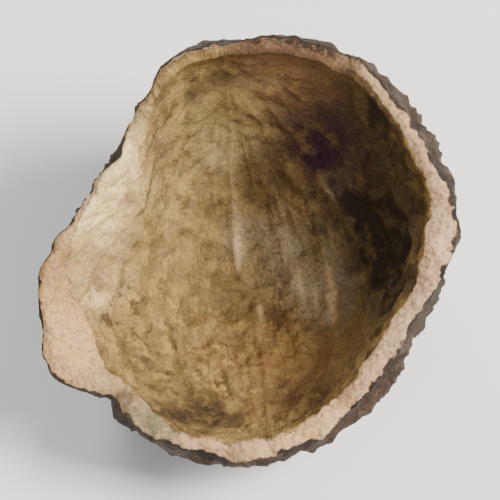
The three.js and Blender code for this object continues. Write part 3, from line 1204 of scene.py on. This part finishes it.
    def masks(self, spots: Spots, relief: Relief) -> dict[str, np.ndarray]:
        """Works out the attributes that the finish reads.

        Args:
            spots: Where the points are on the husk.
            relief: The relief there.

        Returns:
            The numbers for the points, by the name of their attribute.
        """
        directions = spots.directions
        down = np.radians(spots.down) * self.berry.radius
        path = spots.across * self.edge.path + np.where(spots.inside, down, -down)
        masks = {
            Mask.PATH.value: path,
            Mask.LINING.value: path - self.edge.path + patched(self.edge.lined_over, directions),
            Mask.CREST.value: relief.crest,
            Mask.VEIN.value: relief.vein,
            Mask.NET.value: relief.net,
            Mask.BUMPS.value: self.lumps_in_bumps * relief.lumps + self.granules_in_bumps * relief.granules,
        }
        uneven = 1 + self.stain_swing * grain(directions * self.berry.radius, self.stain_swing_size)
        for stain in self.finish.stains:
            masks[stain.name] = np.clip(stain.amount_at(directions, self.fibre_places) * uneven, 0, 1)
        return masks

    def shape(self, ball: bpy.types.Object) -> None:
        """Shapes the ball into the husk, and gives it the attributes that the finish reads.

        Args:
            ball: The fine ball.
        """
        mesh = ball.data
        spots = self.spots(mesh)
        relief = self.relief(spots)
        mesh.vertices.foreach_set("co", (self.points(spots, relief) * MM).ravel())
        for name, numbers in self.masks(spots, relief).items():
            mesh.attributes.new(name, "FLOAT", "POINT").data.foreach_set("value", numbers)
        squeezed = self.fibre_places(spots.directions)
        mesh.attributes.new(self.FIBRES, "FLOAT_VECTOR", "POINT").data.foreach_set("vector", squeezed.ravel())
        mesh.update()

    def tip(self, husk: bpy.types.Object) -> None:
        """Tips the cup to the front and stands it on its flat spot, with the place in its mesh."""
        husk.rotation_euler.x = math.radians(self.front_tip)
        husk.location.z = self.foot_depth * MM
        bpy.ops.object.select_all(action="DESELECT")
        husk.select_set(True)
        bpy.context.view_layer.objects.active = husk
        bpy.ops.object.transform_apply(location=True, rotation=True, scale=True)
        bpy.ops.object.shade_smooth()

    def build(self) -> bpy.types.Object:
        """Builds the husk, hangs it under the root body and hides the imported husk.

        Returns:
            The finished piece.
        """
        husk = self.add_ball()
        self.shape(husk)
        self.tip(husk)
        husk.data.materials.append(self.finish.make())
        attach(husk, "root")
        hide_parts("husk")
        log.info("%s: %d triangles", husk.name, len(husk.data.polygons))
        return husk


@dataclass(frozen=True)
class SoftLight:
    """A soft square light that faces the husk."""

    name: str
    azimuth: float  # degrees from +X towards +Y
    elevation: float  # degrees above the floor
    size: float  # its side, in husk widths
    strength: float  # brightness at the husk
    colour: Colour


@dataclass
class Studio:
    """The pale floor, the soft lights and the camera, all sized from the husk's box."""

    lowest: Vector
    highest: Vector
    husk: bpy.types.Object
    camera_elevation: float = 62
    filled: float = 0.85  # share of the picture that the husk takes
    lens: float = 250
    sensor: float = 36
    clip_range: float = 100  # how many times nearer and farther than the husk the camera sees
    floor_size: float = 60  # in husk widths
    floor_shades: tuple[Colour, Colour] = ((0.84, 0.83, 0.81), (0.87, 0.86, 0.84))
    floor_clouds: Range = (0.3, 0.7)  # noise at which the lighter shade starts, and at which it is full
    floor_roughness: float = 0.9
    floor_specular: float = 0.2
    lights: tuple[SoftLight, ...] = (
        SoftLight("key_light", -10, 47, size=5, strength=2.75, colour=(1.0, 0.96, 0.9)),
        SoftLight("fill_light", 262, 42, size=9, strength=0.32, colour=(0.97, 0.98, 1.0)),
        SoftLight("back_light", 118, 38, size=4, strength=0.6, colour=(0.95, 0.97, 1.0)),
    )
    light_distance: float = 12  # in husk widths
    sky: Colour = (0.93, 0.96, 1.0)
    sky_strength: float = 0.36

    @property
    def middle(self) -> Vector:
        """The middle of the husk's box."""
        return (self.lowest + self.highest) / 2

    @property
    def width(self) -> float:
        """The width of the husk."""
        return self.highest.x - self.lowest.x

    def direction(self, azimuth: float, elevation: float) -> Vector:
        """A unit vector from the husk, by degrees from +X towards +Y and degrees above the floor."""
        around, up = math.radians(azimuth), math.radians(elevation)
        return Vector((math.cos(around) * math.cos(up), math.sin(around) * math.cos(up), math.sin(up)))

    def add_floor(self) -> None:
        """Adds the pale floor."""
        bpy.ops.mesh.primitive_plane_add(size=self.floor_size * self.width)
        floor = bpy.context.object
        floor.name = "floor"
        bench = NodeBench("pale_floor")
        clouded = bench.between(bench.noise(self.width, detail=2), *self.floor_clouds)
        bench.feed(bench.shader.inputs["Base Color"], bench.mix(clouded, *self.floor_shades))
        bench.shader.inputs["Roughness"].default_value = self.floor_roughness
        bench.shader.inputs["Specular IOR Level"].default_value = self.floor_specular
        floor.data.materials.append(bench.material)
        floor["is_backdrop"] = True

    def add_light(self, plan: SoftLight) -> None:
        """Adds one of the lights.

        Args:
            plan: Its place, size, strength and colour.
        """
        back = self.direction(plan.azimuth, plan.elevation)
        away = self.light_distance * self.width
        bpy.ops.object.light_add(type="AREA", location=self.middle + back * away)
        light = bpy.context.object
        light.name = plan.name
        light.rotation_euler = back.to_track_quat("Z", "Y").to_euler()
        light.data.size = plan.size * self.width
        light.data.energy = plan.strength * math.pi**2 * away**2
        light.data.color = plan.colour

    def add_surroundings(self) -> None:
        """Adds even light from all around."""
        world = bpy.data.worlds.new("surroundings")
        world.use_nodes = True
        world.node_tree.nodes["Background"].inputs["Color"].default_value = (*self.sky, 1.0)
        world.node_tree.nodes["Background"].inputs["Strength"].default_value = self.sky_strength
        bpy.context.scene.world = world

    def add_camera(self) -> None:
        """Adds the camera at the photograph's angle, with the husk large and in the middle of the picture."""
        back = self.direction(270, self.camera_elevation)
        turn = back.to_track_quat("Z", "Y")
        places = np.empty(len(self.husk.data.vertices) * 3)
        self.husk.data.vertices.foreach_get("co", places)
        seen = places.reshape(-1, 3) @ np.array(turn.to_matrix())  # rightwards, upwards, and to the camera
        low, high = seen.min(axis=0), seen.max(axis=0)
        away = float((high - low)[:2].max()) / self.filled * self.lens / self.sensor
        bpy.ops.object.camera_add(location=turn @ Vector((low + high) / 2) + back * away)
        camera = bpy.context.object
        camera.rotation_euler = turn.to_euler()
        camera.data.lens = self.lens
        camera.data.sensor_width = self.sensor
        camera.data.clip_start = away / self.clip_range
        camera.data.clip_end = away * self.clip_range
        bpy.context.scene.camera = camera

    def build(self) -> None:
        """Builds the floor, the lights and the camera."""
        self.add_floor()
        for light in self.lights:
            self.add_light(light)
        self.add_surroundings()
        self.add_camera()
        log.info("studio: floor, %d lights and camera", len(self.lights))


def main() -> None:
    """Builds the husk and its studio."""
    logging.basicConfig(level=logging.INFO, format="%(name)s %(message)s")
    husk = PepperHusk().build()
    lowest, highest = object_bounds()
    Studio(lowest, highest, husk).build()


if __name__ == "__main__":
    main()
